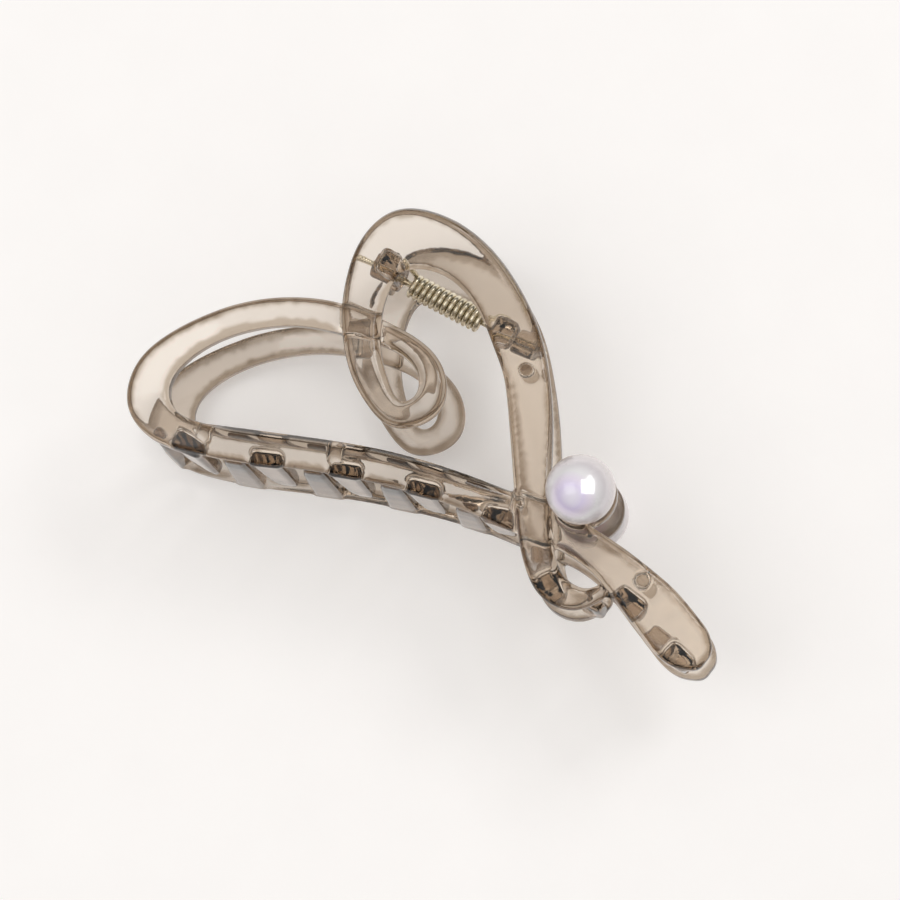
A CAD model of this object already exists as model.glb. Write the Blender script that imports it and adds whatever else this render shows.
# A translucent claw hair clip: two mirrored jaws with interlocking teeth, a coil spring on a
# hinge pin, and a pearl bead on each jaw. The pin lies along X through the origin, the toothed
# bar runs along X on the -Y side, and the jaws mirror each other across z = 0. Lengths are in
# millimetres and become metres when a mesh is made.
#
# Each jaw is sculpted as one signed distance field, negative inside, so that ribbon, teeth, lugs
# and bead seat run together with small fillets. The field is then skinned with quads.
import itertools
import math
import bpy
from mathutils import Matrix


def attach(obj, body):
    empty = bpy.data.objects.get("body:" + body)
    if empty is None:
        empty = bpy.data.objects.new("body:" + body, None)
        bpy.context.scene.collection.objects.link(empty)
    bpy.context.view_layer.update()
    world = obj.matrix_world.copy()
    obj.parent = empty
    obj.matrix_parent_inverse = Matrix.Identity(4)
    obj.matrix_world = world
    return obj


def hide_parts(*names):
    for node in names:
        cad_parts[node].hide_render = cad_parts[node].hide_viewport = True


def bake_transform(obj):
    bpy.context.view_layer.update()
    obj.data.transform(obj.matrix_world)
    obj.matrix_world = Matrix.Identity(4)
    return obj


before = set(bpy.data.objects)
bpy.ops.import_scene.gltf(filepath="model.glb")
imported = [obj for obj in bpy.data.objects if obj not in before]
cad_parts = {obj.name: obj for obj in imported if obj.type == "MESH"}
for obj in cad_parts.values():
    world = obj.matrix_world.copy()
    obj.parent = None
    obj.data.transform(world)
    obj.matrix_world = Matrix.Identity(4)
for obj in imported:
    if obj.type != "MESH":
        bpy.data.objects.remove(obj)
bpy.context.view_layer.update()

from types import SimpleNamespace

import bpy
import numpy as np
from mathutils import Matrix, Vector

MM = 0.001

# ---- dimensions of the jaws --------------------------------------------------------------------
# Ribbon stations: outer edge x, y, z and inner edge x, y, z at mid thickness. The first run goes
# from the +X tail along the toothed bar and round the -X lobe to the bottom of the curl.
TAIL_RUN = [
    (69.85, -36.57, 7.30, 70.44, -32.67, 7.30), (66.86, -37.81, 7.48, 68.63, -30.37, 7.48),
    (63.54, -37.89, 7.91, 65.89, -28.79, 7.91), (58.79, -36.08, 8.45, 60.39, -26.56, 8.45),
    (53.70, -33.75, 9.11, 55.10, -25.29, 9.11), (48.55, -31.41, 9.69, 49.74, -24.38, 9.69),
    (43.52, -30.03, 9.75, 43.90, -23.75, 9.75), (38.55, -29.79, 9.58, 37.82, -23.58, 9.58),
    (33.49, -30.38, 9.39, 31.86, -24.05, 9.87), (28.13, -30.88, 9.59, 26.42, -25.06, 11.41),
    (22.64, -31.13, 10.71, 21.43, -26.19, 13.59), (17.30, -31.85, 11.94, 16.16, -27.22, 14.94),
    (12.03, -32.93, 12.77, 10.71, -28.39, 15.77), (6.76, -34.26, 13.29, 5.31, -29.79, 16.29),
    (1.49, -35.77, 13.60, -0.01, -31.46, 16.60), (-3.74, -37.50, 13.74, -5.26, -33.29, 16.74),
    (-8.88, -39.42, 13.76, -10.50, -35.20, 16.76), (-14.02, -41.44, 13.66, -15.71, -37.10, 16.66),
    (-19.39, -43.38, 13.53, -20.78, -38.82, 16.23), (-25.20, -45.39, 14.04, -25.57, -39.80, 14.68),
    (-32.03, -46.15, 13.57, -29.62, -40.06, 13.67), (-38.39, -43.06, 12.83, -32.67, -38.17, 13.16),
    (-40.63, -36.28, 12.77, -33.62, -34.58, 13.13), (-38.73, -29.89, 13.25, -32.46, -30.45, 13.43),
    (-35.14, -24.45, 13.72, -30.16, -26.56, 13.75), (-30.95, -19.67, 13.90, -27.08, -23.01, 13.89),
    (-26.24, -15.69, 13.75, -23.34, -19.86, 13.76), (-21.17, -12.60, 13.24, -19.03, -17.18, 13.24),
    (-16.20, -10.45, 11.95, -14.07, -15.24, 11.95), (-10.97, -9.29, 10.95, -8.78, -13.91, 10.95),
    (-4.91, -9.03, 11.65, -3.94, -13.10, 11.65), (1.44, -9.49, 13.08, 0.37, -13.36, 13.08),
    (7.53, -12.29, 14.25, 3.88, -15.18, 14.25), (10.22, -18.99, 14.54, 5.15, -18.33, 14.54),
    (5.21, -24.74, 14.80, 3.11, -20.25, 14.80),
]
# The second run goes from there up into the crest at +Y and down the +X band to the hook.
CREST_RUN = [
    TAIL_RUN[-1],
    (-1.01, -23.78, 14.99, -0.10, -18.20, 14.98), (-6.21, -20.48, 14.97, -2.80, -15.46, 14.97),
    (-10.17, -16.17, 14.70, -5.13, -12.07, 14.74), (-13.31, -11.24, 14.38, -6.83, -8.33, 14.24),
    (-15.46, -5.51, 14.48, -7.78, -4.62, 13.67), (-16.14, 1.18, 15.52, -7.78, -1.42, 13.23),
    (-13.50, 7.67, 16.60, -6.29, 0.89, 12.98), (-7.53, 10.74, 16.45, -3.47, 2.25, 12.64),
    (-1.12, 11.22, 15.26, -0.20, 2.65, 11.83), (4.75, 10.03, 13.23, 3.10, 2.04, 10.48),
    (9.90, 7.73, 10.65, 6.14, 0.65, 8.75), (14.45, 4.78, 7.85, 8.87, -1.32, 6.84),
    (18.55, 1.17, 5.81, 11.77, -3.90, 5.50), (22.02, -2.92, 5.74, 15.14, -7.00, 5.66),
    (24.96, -6.95, 6.67, 18.15, -10.73, 6.65), (27.53, -11.01, 7.96, 20.93, -14.68, 7.96),
    (29.87, -15.16, 9.34, 23.67, -18.64, 9.34), (32.12, -19.42, 10.55, 26.41, -22.67, 10.55),
    (34.41, -23.77, 11.29, 29.14, -26.80, 11.29), (36.87, -28.01, 11.29, 32.01, -30.99, 11.29),
    (39.60, -31.48, 10.34, 35.47, -35.05, 10.34), (42.73, -33.45, 8.59, 40.08, -38.12, 8.59),
    (46.21, -33.01, 7.07, 45.82, -37.57, 7.07), (48.39, -30.12, 6.40, 49.81, -33.07, 6.40),
]
RUN_STEP = 0.4                      # spacing of samples along the ribbon
RIBBON_T, CREST_T = 3.5, 3.1        # thickness in general, and at its thinnest on the crest
THIN_AT, THIN_SPREAD = 0.38, 0.16   # where it thins, as shares of the crest run
CORD_SPREAD = 4.5                   # stations either side of the join where it is cord-like
OUTER_ROUND, INNER_ROUND = 1.15, 0.55       # corner radii on the faces away from and toward z = 0
OUTER_CORD, INNER_CORD = 0.5, 0.6           # added to those radii on the cord
OUTER_CROWN, INNER_CROWN = 0.12, 0.05       # how far each face falls away at its edges
END_ROUND, END_ZONE = 1.0, 2.0      # rounding of the ribbon's ends, and the length it acts on

# Teeth: x, y, ribbon angle in degrees, ribbon mid height, size factor
UPPER_TEETH = [
    (-25.56, -44.00, 2.9, 14.33, 1.0), (-12.38, -39.78, 21.6, 15.22, 1.0),
    (0.60, -35.08, 19.2, 15.12, 1.0), (13.72, -31.52, 15.2, 14.00, 1.0),
    (27.08, -29.44, 16.2, 10.66, 1.0), (40.27, -35.57, -34.7, 9.03, 0.85),
    (53.60, -31.75, -9.5, 9.16, 0.95), (65.48, -35.97, -15.6, 7.77, 0.9),
]
LOWER_TEETH = [
    (-32.00, -44.57, -24.1, 13.55, 0.9), (-18.77, -42.09, 18.2, 14.94, 1.0),
    (-5.61, -37.23, 20.3, 15.26, 1.0), (7.40, -33.05, 17.8, 14.71, 1.0),
    (20.69, -30.27, 13.3, 12.62, 1.0), (35.36, -31.25, -56.1, 11.03, 0.85),
    (47.31, -34.44, 4.3, 6.74, 0.8), (60.17, -33.96, -10.3, 8.34, 0.95),
]
TOOTH_W, TOOTH_T, TOOTH_ROUND = 5.4, 3.3, 0.75
TOOTH_LEAN = 0.5                    # share of the taper taken off one side only
ROOT_DROP, TIP_GAP = 0.3, 3.0       # root below ribbon middle; tip short of the other ribbon
# Taper: share of the way from root to tip, and the shares of width and thickness there
TAPER_AT = (0.0, 0.5, 0.82, 1.0)
TAPER_W = (1.0, 0.9, 0.78, 0.62)
TAPER_T = (1.0, 0.92, 0.84, 0.7)

# Hinge lugs round the pin: x from, x to, top of the web
UPPER_LUGS = ((-12.0, -9.3, 13.3), (9.7, 12.9, 6.2))
LOWER_LUGS = ((-15.0, -12.3, 13.6), (13.3, 17.4, 5.6))
BOSS_R, LUG_HALF_Y, LUG_ROUND = 2.4, 1.9, 0.3
UPPER_BORE_R, LOWER_BORE_R = 0.66, 0.63
BORE_REACH = (20, 2, 2)             # half size of the box the bore is cut in

# Round pads on the ribbon's face toward z = 0: x, y, ribbon mid height
BAND_PAD = (18.4, -4.6, 5.75)
PADS = [
    (-23.9, -41.1, 14.55), (-2.1, -33.6, 15.2), (28.9, -26.2, 10.2), (53.9, -27.6, 9.1), BAND_PAD,
]
PAD_R, PAD_RISE, PAD_SINK, PAD_ROUND = 1.25, 0.9, 0.5, 0.25

PEARL, PEARL_R, PEARL_PLAY = (38.15, -19.34, 15.0), 6.0, 0.04
SEAT_R, SEAT_Z0, SEAT_Z1 = 5.8, 7.0, 10.0
PEG_R, PEG_TOP, HOLE_R, HOLE_TOP = 0.8, 12.2, 0.85, 12.7

GRID_LOW, GRID_HIGH, VOXEL = (-44.0, -50.0, -13.0), (73.5, 15.0, 20.5), 0.4
REACH = 2.3                         # how far from the surface the field is kept
FAR = 9.0                           # the field's value where nothing is near
CORNERS = list(itertools.product((0, 1), repeat=3))     # corners of a grid cell


# ---- the ribbon as a smooth run ----------------------------------------------------------------
def spline(knots, values, at):
    """Natural cubic spline through values at knots, read at the places in at."""
    count = len(knots)
    gap = np.diff(knots)
    matrix = np.zeros((count, count))
    target = np.zeros((count, values.shape[1]))
    matrix[0, 0] = matrix[-1, -1] = 1.0
    for i in range(1, count - 1):
        matrix[i, i - 1:i + 2] = gap[i - 1], 2 * (gap[i - 1] + gap[i]), gap[i]
        after = (values[i + 1] - values[i]) / gap[i]
        before = (values[i] - values[i - 1]) / gap[i - 1]
        target[i] = 6 * (after - before)
    bend = np.linalg.solve(matrix, target)      # second derivatives at the knots
    k = np.clip(np.searchsorted(knots, at, side="right") - 1, 0, count - 2)
    left, right = (knots[k + 1] - at)[:, None], (at - knots[k])[:, None]
    span = gap[k][:, None]
    return (
        (bend[k] * left**3 + bend[k + 1] * right**3) / (6 * span)
        + (values[k] / span - bend[k] * span / 6) * left
        + (values[k + 1] / span - bend[k + 1] * span / 6) * right
    )


def unit(vectors):
    return vectors / np.linalg.norm(vectors, axis=1)[:, None]


def ribbon():
    """Frames and sizes sampled along the ribbon; join is the sample where the two runs meet."""
    rows = np.array(TAIL_RUN + CREST_RUN[1:], float)
    centres = (rows[:, :3] + rows[:, 3:]) / 2
    knots = np.r_[0, np.cumsum(np.linalg.norm(np.diff(centres, axis=0), axis=1))]
    join_station = len(TAIL_RUN) - 1
    join = knots[join_station]
    tail = np.linspace(0, join, int(join / RUN_STEP) + 1)
    crest = np.linspace(join, knots[-1], int((knots[-1] - join) / RUN_STEP) + 1)
    length = np.r_[tail, crest[1:]]
    edges = spline(knots, rows, length)
    outer, inner = edges[:, :3], edges[:, 3:]
    middle = (outer + inner) / 2
    across = unit(inner - outer)
    heading = np.gradient(middle, axis=0)
    normal = unit(np.cross(across, heading))
    normal *= np.where(normal[:, 2:] < 0, -1.0, 1.0)
    forward = np.cross(normal, across)
    forward *= np.where((forward * heading).sum(1) < 0, -1.0, 1.0)[:, None]
    station = np.interp(length, knots, np.arange(len(rows)))
    crest_share = (station - len(TAIL_RUN)) / len(CREST_RUN)
    thinning = np.exp(-(((crest_share - THIN_AT) / THIN_SPREAD) ** 2))
    return SimpleNamespace(
        middle=middle, across=across, normal=normal, forward=forward, length=length,
        half_width=np.linalg.norm(inner - outer, axis=1) / 2,
        half_thick=(RIBBON_T - (RIBBON_T - CREST_T) * thinning) / 2,
        cord=np.exp(-(((station - join_station) / CORD_SPREAD) ** 4)),
        join=len(tail) - 1,
    )


# ---- distances ---------------------------------------------------------------------------------
def round_and(a, b, radius):
    """Distance to what two shapes share, with a rounded edge."""
    over_a, over_b = np.maximum(a + radius, 0), np.maximum(b + radius, 0)
    return np.minimum(np.maximum(a, b), -radius) + np.sqrt(over_a * over_a + over_b * over_b)


def smooth_min(a, b, fillet):
    share = np.clip(0.5 + 0.5 * (b - a) / fillet, 0, 1)
    return b * (1 - share) + a * share - fillet * share * (1 - share)


def rounded_rectangle(a, b, half_a, half_b, radius):
    over_a, over_b = np.abs(a) - (half_a - radius), np.abs(b) - (half_b - radius)
    outside = np.sqrt(np.maximum(over_a, 0) ** 2 + np.maximum(over_b, 0) ** 2)
    return np.minimum(np.maximum(over_a, over_b), 0) + outside - radius


def slab(value, low, high):
    return np.abs(value - (low + high) / 2) - (high - low) / 2


def axis_distance(a, b, centre_a=0.0, centre_b=0.0):
    return np.sqrt((a - centre_a) ** 2 + (b - centre_b) ** 2)


class Grid:
    """The regular lattice the field is sampled on."""

    def __init__(self, low, high):
        self.low = np.array(low, float)
        self.size = np.ceil((np.array(high, float) - self.low) / VOXEL).astype(int) + 1
        self.axes = [self.low[i] + VOXEL * np.arange(self.size[i]) for i in range(3)]

    def window(self, low, high):
        """The slices that cover a box, and x, y, z there, ready to broadcast."""
        first = np.floor((np.array(low) - self.low) / VOXEL).astype(int)
        stop = np.ceil((np.array(high) - self.low) / VOXEL).astype(int) + 1
        first, stop = np.clip(first, 0, self.size - 1), np.clip(stop, 1, self.size)
        part = tuple(slice(int(p), int(q)) for p, q in zip(first, stop))
        x = self.axes[0][part[0]][:, None, None]
        y = self.axes[1][part[1]][None, :, None]
        z = self.axes[2][part[2]][None, None, :]
        return part, x, y, z


def offset_along(run, k, direction, x, y, z):
    """Offset of points from ribbon sample k along one of the sample's own directions."""
    v, origin = getattr(run, direction)[k], run.middle[k]
    return (x - origin[0]) * v[0] + (y - origin[1]) * v[1] + (z - origin[2]) * v[2]


def sweep(grid, run, first, last, cap_start=False, cap_end=False):
    """Field of the ribbon between two samples; a capped end is rounded, the other left open."""
    field = np.full(tuple(grid.size), FAR, np.float32)
    for i in range(first, last):
        j = i + 1
        at_start, at_end = cap_start and i == first, cap_end and j == last
        box = []
        for k, capped, sense in ((i, at_start, -1), (j, at_end, 1)):
            side = run.across[k] * (run.half_width[k] + REACH)
            rise = run.normal[k] * (run.half_thick[k] + REACH)
            beyond = run.forward[k] * (sense * REACH if capped else 0.0)
            for a, b in itertools.product((-1, 1), repeat=2):
                corner = run.middle[k] + a * side + b * rise
                box += [corner, corner + beyond]
        box = np.array(box)
        part, x, y, z = grid.window(box.min(0), box.max(0))

        past_i = offset_along(run, i, "forward", x, y, z)
        past_j = offset_along(run, j, "forward", x, y, z)
        inside = (past_i >= 0) & (past_j < 0)
        if at_start:
            inside |= (past_i < 0) & (past_i > -REACH) & (past_j < 0)
        if at_end:
            inside |= (past_j >= 0) & (past_j < REACH) & (past_i >= 0)
        cells = np.nonzero(inside)
        past_i, past_j = past_i[cells], past_j[cells]
        share = np.clip(past_i / np.maximum(past_i - past_j, 1e-9), 0, 1)
        points = x[cells[0], 0, 0], y[0, cells[1], 0], z[0, 0, cells[2]]

        def between(at_i, at_j):
            return at_i * (1 - share) + at_j * share

        def local(direction):
            return between(*(offset_along(run, k, direction, *points) for k in (i, j)))

        u, v = local("across"), local("normal")
        half_w = between(run.half_width[i], run.half_width[j])
        half_t = between(run.half_thick[i], run.half_thick[j])
        cord = run.cord[i]
        radius = np.where(v > 0, OUTER_ROUND + OUTER_CORD * cord, INNER_ROUND + INNER_CORD * cord)
        radius = np.minimum(radius, np.minimum(half_w, half_t) * 0.97)
        full_crown = np.where(v > 0, OUTER_CROWN, INNER_CROWN)
        crown = full_crown * np.clip(1 - (u / half_w) ** 2, 0, 1)
        d = rounded_rectangle(u, v, half_w, half_t + crown - full_crown, radius)
        length = between(run.length[i], run.length[j])
        if cap_start:
            beyond = run.length[first] - length
            near = -beyond < END_ZONE
            if i == first:
                beyond = np.where(past_i < 0, -past_i, beyond)
            d = np.where(near, round_and(d, beyond, END_ROUND), d)
        if cap_end:
            beyond = length - run.length[last]
            near = -beyond < END_ZONE
            if j == last:
                beyond = np.where(past_j >= 0, past_j, beyond)
            d = np.where(near, round_and(d, beyond, END_ROUND), d)
        target = field[part]
        target[cells] = np.minimum(target[cells], d)
    return field


# ---- parts of a jaw, each joined to the field --------------------------------------------------
def add(field, grid, low, high, shape, fillet):
    """Joins a shape inside a box to the field: shape(x, y, z) is its distance."""
    part, x, y, z = grid.window(np.array(low) - REACH, np.array(high) + REACH)
    field[part] = smooth_min(field[part], shape(x, y, z).astype(np.float32), fillet)


def add_tooth(field, grid, x0, y0, angle, mid, factor):
    root, tip = mid - ROOT_DROP, -(mid - RIBBON_T / 2 - TIP_GAP)
    cos, sin = math.cos(math.radians(angle)), math.sin(math.radians(angle))

    def shape(x, y, z):
        down = (root - z) / (root - tip)
        width = TOOTH_W * factor * np.interp(down, TAPER_AT, TAPER_W)
        thick = TOOTH_T * factor * np.interp(down, TAPER_AT, TAPER_T)
        lean = TOOTH_LEAN * (TOOTH_W * factor - width) / 2
        a = (x - x0) * cos + (y - y0) * sin - lean
        b = -(x - x0) * sin + (y - y0) * cos
        d = rounded_rectangle(a, b, width / 2, thick / 2, TOOTH_ROUND)
        return round_and(round_and(d, tip - z, radius=1.0), z - root, radius=0.5)

    add(field, grid, (x0 - 4, y0 - 4, tip - 0.5), (x0 + 4, y0 + 4, root + 0.5), shape, fillet=0.9)


def add_pad(field, grid, x0, y0, mid):
    low = mid - RIBBON_T / 2 - PAD_RISE

    def shape(x, y, z):
        ends = np.maximum(z - mid + PAD_SINK, low - z)
        return round_and(axis_distance(x, y, x0, y0) - PAD_R, ends, PAD_ROUND)

    box = (x0 - PAD_R, y0 - PAD_R, low), (x0 + PAD_R, y0 + PAD_R, mid)
    add(field, grid, *box, shape, fillet=0.25)


def add_lug(field, grid, x0, x1, top):
    """A round boss about the pin with a web standing on it."""
    def shape(x, y, z):
        boss = round_and(axis_distance(y, z) - BOSS_R, slab(x, x0, x1), LUG_ROUND)
        web = rounded_rectangle(x - (x0 + x1) / 2, y, (x1 - x0) / 2, LUG_HALF_Y, LUG_ROUND)
        return np.minimum(boss, round_and(web, slab(z, 0, top), LUG_ROUND))

    add(field, grid, (x0, -BOSS_R, -BOSS_R), (x1, BOSS_R, top), shape, fillet=0.6)


def add_seat(field, grid):
    """The disc under the bead."""
    px, py, _ = PEARL

    def shape(x, y, z):
        d = axis_distance(x, y, px, py) - SEAT_R
        return round_and(d, slab(z, SEAT_Z0, SEAT_Z1), radius=0.5)

    box = (px - PEARL_R, py - PEARL_R, SEAT_Z0), (px + PEARL_R, py + PEARL_R, SEAT_Z1)
    add(field, grid, *box, shape, fillet=0.9)


def add_peg(field, grid):
    """The peg in the bead's blind hole."""
    px, py, _ = PEARL

    def shape(x, y, z):
        ends = np.maximum(z - PEG_TOP, SEAT_Z0 + 0.5 - z)
        return round_and(axis_distance(x, y, px, py) - PEG_R, ends, radius=0.2)

    add(field, grid, (px - 1, py - 1, SEAT_Z0), (px + 1, py + 1, PEG_TOP), shape, fillet=0.2)


def cut_socket(field, grid):
    """The hollow the bead sits in."""
    centre, margin = np.array(PEARL), PEARL_R + 1
    part, x, y, z = grid.window(centre - margin, centre + margin)
    px, py, pz = PEARL
    distance = np.sqrt((x - px) ** 2 + (y - py) ** 2 + (z - pz) ** 2)
    field[part] = np.maximum(field[part], PEARL_R + PEARL_PLAY - distance)


def cut_bore(field, grid, radius):
    """The pin's hole through the lugs."""
    part, _, y, z = grid.window(-np.array(BORE_REACH), BORE_REACH)
    field[part] = np.maximum(field[part], radius - axis_distance(y, z))


# ---- skinning ----------------------------------------------------------------------------------
def skin(field, grid):
    """Vertices in millimetres and quads of the field's zero level, facing outward."""
    solid = field < 0
    n = np.array(field.shape) - 1
    count = np.zeros(n, np.uint8)
    for c in CORNERS:
        count += solid[c[0]:c[0] + n[0], c[1]:c[1] + n[1], c[2]:c[2] + n[2]]
    crossed = np.nonzero((count > 0) & (count < 8))
    cells = np.stack(crossed, 1)
    index = np.full(tuple(n), -1, np.int32)
    index[crossed] = np.arange(len(cells))

    # one vertex per crossed cell, at the mean of its edges' crossings
    total, hits = np.zeros((len(cells), 3)), np.zeros(len(cells))
    for start in CORNERS:
        for axis in range(3):
            if start[axis]:
                continue
            end = list(start)
            end[axis] = 1
            from_d, to_d = (field[tuple((cells + corner).T)] for corner in (start, end))
            cross = (from_d < 0) != (to_d < 0)
            point = np.tile(np.array(start, float), (len(cells), 1))
            point[:, axis] = np.where(cross, from_d / np.where(cross, from_d - to_d, 1), 0)
            total[cross] += point[cross]
            hits += cross
    verts = grid.low + VOXEL * (cells + total / hits[:, None])

    # one quad round each crossed lattice edge
    quads = []
    for axis in range(3):
        side1, side2 = (axis + 1) % 3, (axis + 2) % 3
        low_part, high_part = [slice(None)] * 3, [slice(None)] * 3
        low_part[axis], high_part[axis] = slice(0, -1), slice(1, None)
        low_solid, high_solid = solid[tuple(low_part)], solid[tuple(high_part)]
        edges = np.stack(np.nonzero(low_solid != high_solid), 1)
        a, b = edges[:, side1], edges[:, side2]
        edges = edges[(a > 0) & (b > 0) & (a < n[side1]) & (b < n[side2])]
        leaving = low_solid[tuple(edges.T)]

        def vertex(step1, step2):
            cell = edges.copy()
            cell[:, side1] += step1
            cell[:, side2] += step2
            return index[tuple(cell.T)]

        ring = np.stack([vertex(-1, -1), vertex(0, -1), vertex(0, 0), vertex(-1, 0)], 1)
        ring[~leaving] = ring[~leaving][:, ::-1]
        quads.append(ring)
    return verts, np.concatenate(quads)


def settle(verts, field, grid):
    """Draws the vertices onto the field's zero level."""
    grads = np.gradient(field, VOXEL)
    for _ in range(3):
        place = (verts - grid.low) / VOXEL
        cell = np.clip(np.floor(place).astype(int), 0, np.array(field.shape) - 2)
        part = place - cell
        value, slope = np.zeros(len(verts)), np.zeros((len(verts), 3))
        for corner in CORNERS:
            share = np.where(corner, part, 1 - part)
            weight = share[:, 0] * share[:, 1] * share[:, 2]
            at = tuple((cell + corner).T)
            value += weight * field[at]
            for k in range(3):
                slope[:, k] += weight * grads[k][at]
        steepness = np.maximum((slope**2).sum(1), 0.2)
        step = -(value / steepness)[:, None] * slope
        size = np.linalg.norm(step, axis=1)
        step *= np.minimum(1, 0.5 * VOXEL / np.maximum(size, 1e-9))[:, None]
        verts = verts + step
    return verts


def neighbour_mean(values, quads):
    """Mean of a per-vertex value over the neighbours along the quads' edges."""
    n = len(values)
    start, end = quads.T.ravel(), np.roll(quads, -1, axis=1).T.ravel()
    count = np.bincount(start, minlength=n) + np.bincount(end, minlength=n)
    return (np.bincount(start, values[end], n) + np.bincount(end, values[start], n)) / count


def relax(verts, quads):
    """Evens out the spacing of the vertices a little."""
    for _ in range(2):
        means = np.stack([neighbour_mean(verts[:, k], quads) for k in range(3)], 1)
        verts = verts + 0.5 * (means - verts)
    return verts


def edge_share(verts, quads, field, grid):
    """0 where the surface is flat, 1 on a moulded edge, blurred along the surface."""
    near = np.minimum(field, REACH)
    bend = sum(np.gradient(np.gradient(near, VOXEL, axis=k), VOXEL, axis=k) for k in range(3))
    for k in range(3):                     # a light blur
        bend = (np.roll(bend, 1, k) + 2 * bend + np.roll(bend, -1, k)) / 4
    nearest = np.rint((verts - grid.low) / VOXEL).astype(int)
    nearest = np.clip(nearest, 0, np.array(field.shape) - 1)
    flat_bend, bend_range = 0.22, 0.5
    share = np.clip((bend[tuple(nearest.T)] - flat_bend) / bend_range, 0, 1)
    for _ in range(4):
        share = 0.5 * share + 0.5 * neighbour_mean(share, quads)
    floor_share, share_range = 0.12, 0.62
    return np.clip((share - floor_share) / share_range, 0, 1)


def ribbon_field(grid):
    run = ribbon()
    tail = sweep(grid, run, 0, run.join, cap_start=True)
    crest = sweep(grid, run, run.join, len(run.length) - 1, cap_end=True)
    both = (tail < FAR - 1) & (crest < FAR - 1)
    field = np.minimum(tail, crest)
    field[both] = smooth_min(tail[both], crest[both], fillet=0.7)
    return field


def jaw_surface(ribbon_part, grid, teeth, lugs, bore_radius):
    """Vertices, quads and edge shares of a jaw, in the upper jaw's position."""
    field = ribbon_part.copy()
    add_seat(field, grid)
    for tooth in teeth:
        add_tooth(field, grid, *tooth)
    for lug in lugs:
        add_lug(field, grid, *lug)
    for pad in PADS:
        add_pad(field, grid, *pad)
    cut_socket(field, grid)
    add_peg(field, grid)
    cut_bore(field, grid, bore_radius)
    verts, quads = skin(field, grid)
    verts = settle(verts, field, grid)
    verts = settle(relax(verts, quads), field, grid)
    return verts, quads, edge_share(verts, quads, field, grid)


# ---- materials ---------------------------------------------------------------------------------
class Nodes:
    """The node tree of a material or world, emptied, with short ways to add to it."""

    def __init__(self, owner):
        owner.use_nodes = True
        self.tree = owner.node_tree
        self.tree.nodes.clear()

    def feed(self, node, inputs):
        """Sets each input to a value, or links it when given a socket."""
        for name, value in inputs.items():
            if isinstance(value, bpy.types.NodeSocket):
                self.tree.links.new(value, node.inputs[name])
            else:
                node.inputs[name].default_value = value

    def new(self, kind, inputs={}, **settings):
        node = self.tree.nodes.new("ShaderNode" + kind)
        for name, value in settings.items():
            setattr(node, name, value)
        self.feed(node, inputs)
        return node

    def ramp(self, factor, stops):
        node = self.new("ValToRGB", {"Fac": factor})
        elements = node.color_ramp.elements
        while len(elements) < len(stops):
            elements.new(0.5)
        for element, (position, colour) in zip(elements, stops):
            element.position, element.color = position, (*colour, 1.0)
        return node.outputs["Color"]

    def multiply(self, a, b):
        inputs = {"Factor": 1.0, "A": a, "B": b}
        mix = self.new("Mix", inputs, data_type="RGBA", blend_type="MULTIPLY")
        return mix.outputs["Result"]


class Material(Nodes):
    """A principled material patterned by noise in object coordinates."""

    def __init__(self, name):
        self.material = bpy.data.materials.new(name)
        super().__init__(self.material)
        self.out = self.new("OutputMaterial")
        self.bsdf = self.new("BsdfPrincipled")
        self.feed(self.out, {"Surface": self.bsdf.outputs["BSDF"]})
        self.coords = self.new("TexCoord").outputs["Object"]

    def noise(self, scale, detail, roughness=0.5):
        inputs = {"Scale": scale, "Detail": detail, "Roughness": roughness, "Vector": self.coords}
        return self.new("TexNoise", inputs).outputs["Fac"]

    def to_range(self, value, low, high):
        inputs = {"To Min": low, "To Max": high, "Value": value}
        return self.new("MapRange", inputs).outputs["Result"]

    def bump(self, height, strength, distance):
        inputs = {"Strength": strength, "Distance": distance, "Height": height}
        return self.new("Bump", inputs).outputs["Normal"]

    def facing(self, blend):
        return self.new("LayerWeight", {"Blend": blend}).outputs["Facing"]


def smoke_plastic():
    """Clear warm plastic, darker at grazing angles, on moulded edges and through its depth."""
    m = Material("smoke_plastic")
    m.feed(m.bsdf, {"Transmission Weight": 1.0, "IOR": 1.50})
    tint = m.ramp(m.noise(scale=45, detail=3, roughness=0.55), [
        (0.3, (0.955, 0.915, 0.865)), (0.7, (0.985, 0.955, 0.915)),
    ])
    grazing = m.ramp(m.facing(blend=0.5), [
        (0.0, (1.0, 1.0, 1.0)), (0.34, (0.97, 0.96, 0.95)),
        (0.58, (0.68, 0.60, 0.52)), (0.85, (0.17, 0.12, 0.09)),
    ])
    share = m.new("Attribute", attribute_name="edge_share").outputs["Fac"]
    edges = m.ramp(share, [
        (0.0, (1.0, 1.0, 1.0)), (0.35, (0.86, 0.83, 0.80)), (1.0, (0.40, 0.33, 0.26)),
    ])
    m.feed(m.bsdf, {
        "Base Color": m.multiply(m.multiply(tint, grazing), edges),
        "Roughness": m.to_range(m.noise(scale=900, detail=3, roughness=0.6), 0.015, 0.06),
        "Normal": m.bump(m.noise(scale=140, detail=2), strength=0.10, distance=0.0006),
    })
    depth = m.new("VolumeAbsorption", {"Color": (0.56, 0.36, 0.12, 1), "Density": 54.0})
    m.feed(m.out, {"Volume": depth.outputs["Volume"]})
    return m.material


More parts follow.
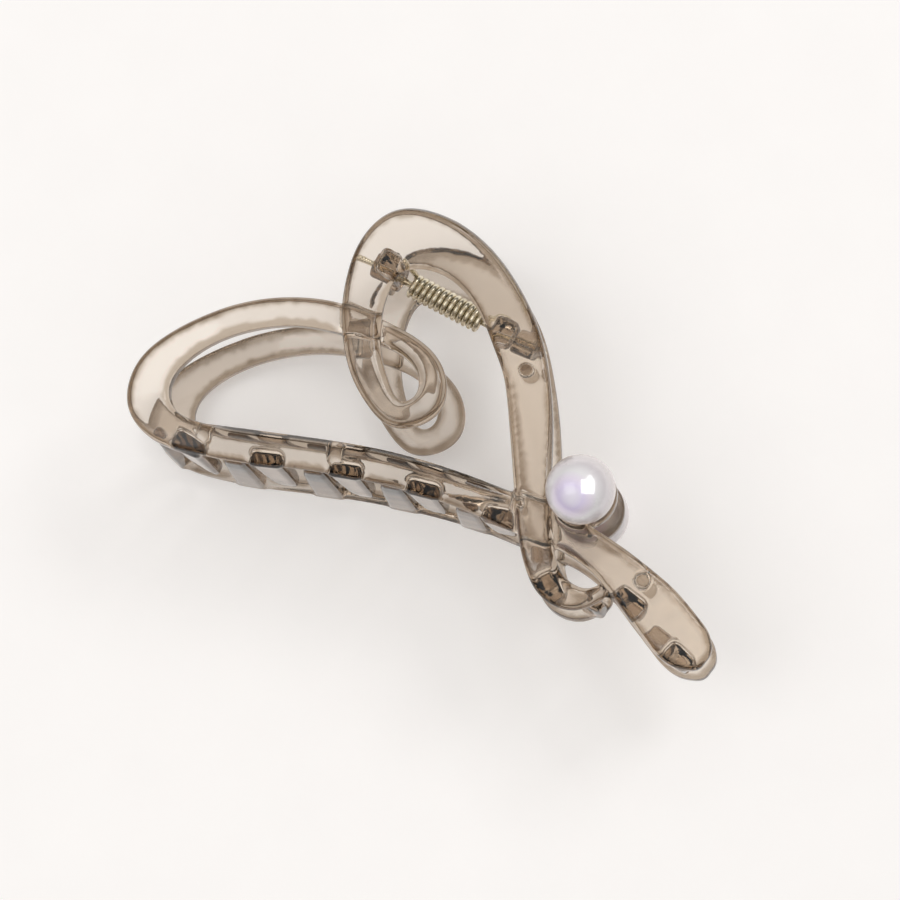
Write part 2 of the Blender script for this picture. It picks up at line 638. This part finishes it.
def pearl_coat():
    """Nacre: white, with a lavender sheen toward one direction and a warm pale rim."""
    m = Material("pearl")
    normal = m.new("NewGeometry").outputs["Normal"]
    sheen_towards = (-0.02, -0.42, 0.907)
    turned = m.new("VectorMath", operation="DOT_PRODUCT")
    m.feed(turned, {0: normal, 1: sheen_towards})
    stir = m.to_range(m.noise(scale=190, detail=2), -0.05, 0.05)
    stirred = m.new("Math", {0: turned.outputs["Value"], 1: stir}, operation="ADD")
    sheen = m.ramp(stirred.outputs["Value"], [
        (0.0, (0.92, 0.86, 0.86)), (0.45, (0.91, 0.87, 0.90)), (0.72, (0.95, 0.94, 0.96)),
        (0.86, (0.90, 0.82, 0.96)), (0.94, (0.82, 0.74, 0.97)), (1.0, (0.90, 0.86, 0.98)),
    ])
    rim = m.ramp(m.facing(blend=0.3), [
        (0.0, (1.0, 1.0, 1.0)), (0.45, (0.98, 0.97, 0.98)),
        (0.62, (1.0, 0.97, 0.97)), (0.9, (0.98, 0.90, 0.89)),
    ])
    m.feed(m.bsdf, {
        "Base Color": m.multiply(sheen, rim),
        "Roughness": m.to_range(m.noise(scale=500, detail=2), 0.20, 0.32),
        "Coat Weight": 1.0,
        "Coat Roughness": 0.03,
        "Coat IOR": 1.6,
        "Normal": m.bump(m.noise(scale=700, detail=2), strength=0.03, distance=0.0002),
    })
    return m.material


def brass_wire():
    m = Material("brass_wire")
    m.feed(m.bsdf, {
        "Metallic": 1.0,
        "Base Color": m.ramp(m.noise(scale=700, detail=3, roughness=0.6), [
            (0.35, (0.68, 0.61, 0.46)), (0.65, (0.86, 0.79, 0.63)),
        ]),
        "Roughness": m.to_range(m.noise(scale=1500, detail=2, roughness=0.6), 0.18, 0.36),
        "Normal": m.bump(m.noise(scale=2600, detail=2), strength=0.15, distance=0.00005),
    })
    return m.material


def floor_paper():
    m = Material("floor_paper")
    m.feed(m.bsdf, {
        "Base Color": m.ramp(m.noise(scale=60, detail=4, roughness=0.6), [
            (0.3, (0.80, 0.785, 0.775)), (0.7, (0.82, 0.805, 0.795)),
        ]),
        "Roughness": 0.6,
        "Specular IOR Level": 0.2,
        "Emission Color": (1.0, 0.975, 0.96, 1),
        "Emission Strength": 0.30,
    })
    return m.material


# ---- mesh helpers ------------------------------------------------------------------------------
def link(name, data):
    obj = bpy.data.objects.new(name, data)
    bpy.context.scene.collection.objects.link(obj)
    return obj


def mesh_object(name, verts, faces, coat, mirrored=False):
    """A smooth mesh from millimetres, mirrored across z = 0 if asked."""
    if mirrored:
        verts = verts * (1, 1, -1)
        faces = [face[::-1] for face in faces]
    mesh = bpy.data.meshes.new(name)
    mesh.from_pydata((verts * MM).tolist(), [], np.asarray(faces).tolist()
                     if isinstance(faces, np.ndarray) else [[int(i) for i in f] for f in faces])
    mesh.validate()
    mesh.update()
    mesh.polygons.foreach_set("use_smooth", [True] * len(mesh.polygons))
    mesh.materials.append(coat)
    return link(name, mesh)


def lathe(profile, sides):
    """A closed shape turned about X: profile is (x, radius), with radius 0 at both ends."""
    verts, faces, rings = [], [], []
    angles = np.linspace(0, 2 * math.pi, sides, endpoint=False)
    for x, radius in profile:
        if radius < 1e-9:
            rings.append([len(verts)])
            verts.append((x, 0.0, 0.0))
        else:
            rings.append(list(range(len(verts), len(verts) + sides)))
            verts += [(x, radius * math.cos(a), radius * math.sin(a)) for a in angles]
    for p, q in zip(rings, rings[1:]):
        for i in range(sides):
            j = (i + 1) % sides
            if len(p) == 1:
                faces.append((q[j], q[i], p[0]))
            elif len(q) == 1:
                faces.append((p[j], q[0], p[i]))
            else:
                faces.append((p[j], q[j], q[i], p[i]))
    return np.array(verts), faces


def tube(path, radius, sides):
    """A round wire along path with domed ends."""
    tangents = unit(np.gradient(path, axis=0))
    across = np.cross(tangents[0], (0.3, 0.5, 0.8))
    across /= np.linalg.norm(across)
    frames = []
    for tangent in tangents:
        across = across - tangent * across.dot(tangent)
        across /= np.linalg.norm(across)
        frames.append((across, np.cross(tangent, across)))
    verts, faces, rings = [], [], []

    def ring(centre, frame, size):
        rings.append(list(range(len(verts), len(verts) + sides)))
        for k in range(sides):
            angle = 2 * math.pi * k / sides
            verts.append(centre + size * (frame[0] * math.cos(angle) + frame[1] * math.sin(angle)))

    dome = 0.6                              # dome height as a share of the radius
    dome_rings = [(0.55, 0.84), (0.9, 0.44)]    # shares of the dome's height and the radius
    verts.append(path[0] - tangents[0] * radius * dome)
    for out, share in dome_rings[::-1]:
        ring(path[0] - tangents[0] * radius * dome * out, frames[0], radius * share)
    for point, frame in zip(path, frames):
        ring(point, frame, radius)
    for out, share in dome_rings:
        ring(path[-1] + tangents[-1] * radius * dome * out, frames[-1], radius * share)
    verts.append(path[-1] + tangents[-1] * radius * dome)
    for i in range(sides):
        j = (i + 1) % sides
        faces.append((0, rings[0][j], rings[0][i]))
        faces.append((len(verts) - 1, rings[-1][i], rings[-1][j]))
        for p, q in zip(rings, rings[1:]):
            faces.append((p[i], p[j], q[j], q[i]))
    return np.array(verts), faces


# ---- the pieces --------------------------------------------------------------------------------
def build_jaws(plastic):
    grid = Grid(GRID_LOW, GRID_HIGH)
    ribbon_part = ribbon_field(grid)
    for body, teeth, lugs, bore_radius in (
        ("upper", UPPER_TEETH, UPPER_LUGS, UPPER_BORE_R),
        ("lower", LOWER_TEETH, LOWER_LUGS, LOWER_BORE_R),
    ):
        verts, quads, share = jaw_surface(ribbon_part, grid, teeth, lugs, bore_radius)
        if body == "upper":                 # darken the pad on the band
            off = verts - np.array(BAND_PAD)
            share[(np.hypot(off[:, 0], off[:, 1]) < 1.15) & (np.abs(off[:, 2]) < 1.6)] = 0.9
        jaw = mesh_object(f"{body}_jaw_moulding", verts, quads.tolist(), plastic, body == "lower")
        layer = jaw.data.attributes.new("edge_share", "FLOAT", "POINT")
        layer.data.foreach_set("value", share.astype(np.float32))
        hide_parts(f"{body}_jaw")
        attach(jaw, body)


COIL_R, COIL_X0, COIL_X1, COIL_TURNS, WIRE_R = 1.8, -7.8, 6.4, 13, 0.5
LEG_UP, LEG_DOWN = (-8.7, 1.9, 11.2), (8.9, 3.1, -6.6)      # tips of the spring's legs


def spring_path():
    steps = COIL_TURNS * 30
    i = np.arange(steps + 1)
    angle = 2 * math.pi * COIL_TURNS * i / steps
    x = COIL_X0 + (COIL_X1 - COIL_X0) * i / steps
    coil = np.stack([x, COIL_R * np.cos(angle), -COIL_R * np.sin(angle)], 1)

    def leg(end, tip):
        share = np.linspace(0, 1, 33)[1:]
        ease = share * share * (1.6 - 0.6 * share)
        return end + (np.array(tip) - end) * np.stack([ease, ease, share], 1)

    return np.concatenate([leg(coil[0], LEG_UP)[::-1], coil, leg(coil[-1], LEG_DOWN)])


def build_spring(brass):
    spring = mesh_object("spring_wire", *tube(spring_path(), WIRE_R, sides=14), brass)
    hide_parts("torsion_spring")
    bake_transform(spring)


PIN_R, GROOVE_R, GROOVE_PITCH = 0.6, 0.52, 0.36
# Profiles of the pin's ends: x, radius
PIN_HEAD = [
    (-18.8, 0.0), (-18.8, 0.55), (-18.7, 0.75), (-18.55, 0.85), (-18.1, 0.85), (-18.0, 0.78),
    (-17.97, PIN_R),
]
PIN_TAIL = [(18.85, PIN_R), (19.05, 0.54), (19.17, 0.38), (19.2, 0.0)]


def build_pin(brass):
    profile = list(PIN_HEAD)
    for k in range(6):                      # turned grooves next to the head
        x = -17.8 + GROOVE_PITCH * k
        profile += [(x, PIN_R), (x + 0.1, GROOVE_R), (x + 0.2, GROOVE_R), (x + 0.3, PIN_R)]
    pin = mesh_object("hinge_pin_turned", *lathe(profile + PIN_TAIL, sides=40), brass)
    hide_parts("hinge_pin")
    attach(pin, "lower")


def build_beads(nacre):
    """Spheres with a blind hole facing z = 0."""
    hole_angle = math.asin(HOLE_R / PEARL_R)
    angles = np.linspace(0, math.pi - hole_angle, 72)
    profile = [(PEARL_R * math.cos(a), PEARL_R * math.sin(a)) for a in angles]
    hole_end = HOLE_TOP - PEARL[2]
    profile += [(z, HOLE_R) for z in np.linspace(profile[-1][0], hole_end, 5)[1:]]
    verts, faces = lathe(profile + [(hole_end, 0.0)], sides=144)
    verts = verts[:, [1, 2, 0]] + np.array(PEARL)       # stand the turning axis along Z
    beads = []
    for body in ("upper", "lower"):
        bead = mesh_object(f"pearl_{body}_bead", verts, faces, nacre, body == "lower")
        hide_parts(f"{body}_pearl")
        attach(bead, body)
        beads.append(bead)
    return beads


# ---- stage, camera, light ----------------------------------------------------------------------
# Three places where the clip rests on the floor
TOUCH = ((PEARL[0], PEARL[1], -21.03), (-10.0, -40.0, -17.1), (-13.0, 9.0, -18.5))
FLOOR_HALF = 0.7                            # metres

# The camera's own axes; the lights are placed by them too
RIGHT = Vector((0.86921031, 0.4812032, -0.11365264))
UP = Vector((-0.46167569, 0.87216067, 0.16183732))
BACK = Vector((0.177, -0.0882, 0.98025087))
CAMERA_PLACE = (153.30191, -92.66631, 780.09867)
LIT_CENTRE = (15.0, -17.0, 0.0)


def build_floor():
    touch = [Vector(p) for p in TOUCH]
    normal = (touch[1] - touch[0]).cross(touch[2] - touch[0]).normalized()
    if normal.z < 0:
        normal = -normal
    mesh = bpy.data.meshes.new("floor")
    square = [(x * FLOOR_HALF, y * FLOOR_HALF, 0) for x, y in ((-1, -1), (1, -1), (1, 1), (-1, 1))]
    mesh.from_pydata(square, [], [(0, 1, 2, 3)])
    floor = link("floor", mesh)
    floor.rotation_mode = "QUATERNION"
    floor.rotation_quaternion = Vector((0, 0, 1)).rotation_difference(normal)
    floor.location = touch[0] * MM
    mesh.materials.append(floor_paper())


def build_camera():
    data = bpy.data.cameras.new("camera")
    camera = link("camera", data)
    data.lens, data.sensor_width = 183.062, 36.0
    data.clip_start, data.clip_end = 0.02, 20.0
    turn = Matrix((RIGHT, UP, BACK)).transposed()
    camera.matrix_world = Matrix.Translation(Vector(CAMERA_PLACE) * MM) @ turn.to_4x4()
    bpy.context.scene.camera = camera


def softbox(name, towards, distance, size, power):
    """A square light facing the clip; distance and size in metres, power in watts."""
    data = bpy.data.lights.new(name, "AREA")
    data.shape, data.size, data.energy = "SQUARE", size, power
    light = link(name, data)
    direction = towards.normalized()
    light.location = Vector(LIT_CENTRE) * MM + direction * distance
    light.rotation_mode = "QUATERNION"
    light.rotation_quaternion = direction.to_track_quat("Z", "Y")
    return light


def build_lights(beads):
    softbox("key", -RIGHT * 0.60 + UP * 0.05 + BACK * 0.80, distance=1.2, size=0.8, power=2.2)
    softbox("window", RIGHT * 0.49 + UP * 0.56 + BACK * 0.66, distance=1.1, size=0.36, power=1.9)
    glint = softbox("glint", RIGHT * 0.39 + UP * 0.16 + BACK * 0.90,
                    distance=1.05, size=0.85, power=16.0)
    glint.visible_diffuse = False           # only the beads' reflection of it is wanted
    receivers = bpy.data.collections.new("beads")
    for bead in beads:
        receivers.objects.link(bead)
    glint.light_linking.receiver_collection = receivers


def build_world():
    """A room, bright overhead and dim low down, behind a plain backdrop for the camera."""
    world = bpy.data.worlds.new("studio")
    bpy.context.scene.world = world
    w = Nodes(world)
    out = w.new("OutputWorld")
    background = w.new("Background", {"Strength": 0.88})
    direction = w.new("TexCoord").outputs["Generated"]
    height = w.new("SeparateXYZ", {"Vector": direction}).outputs["Z"]
    # the dim low part gives clear plastic its dark edges
    room = w.ramp(height, [
        (0.0, (0.05, 0.042, 0.036)), (0.26, (0.08, 0.07, 0.06)),
        (0.50, (0.60, 0.585, 0.57)), (1.0, (1.0, 0.985, 0.965)),
    ])
    backdrop = w.new("RGB").outputs[0]
    backdrop.default_value = (0.72, 0.705, 0.69, 1)
    seen = w.new("LightPath").outputs["Is Camera Ray"]
    pick = w.new("Mix", {"Factor": seen, "A": room, "B": backdrop}, data_type="RGBA")
    w.feed(background, {"Color": pick.outputs["Result"]})
    w.feed(out, {"Surface": background.outputs["Background"]})


plastic, nacre, brass = smoke_plastic(), pearl_coat(), brass_wire()
build_jaws(plastic)
build_spring(brass)
build_pin(brass)
beads = build_beads(nacre)
build_floor()
build_camera()
build_lights(beads)
build_world()
bpy.context.scene.view_settings.view_transform = "Standard"
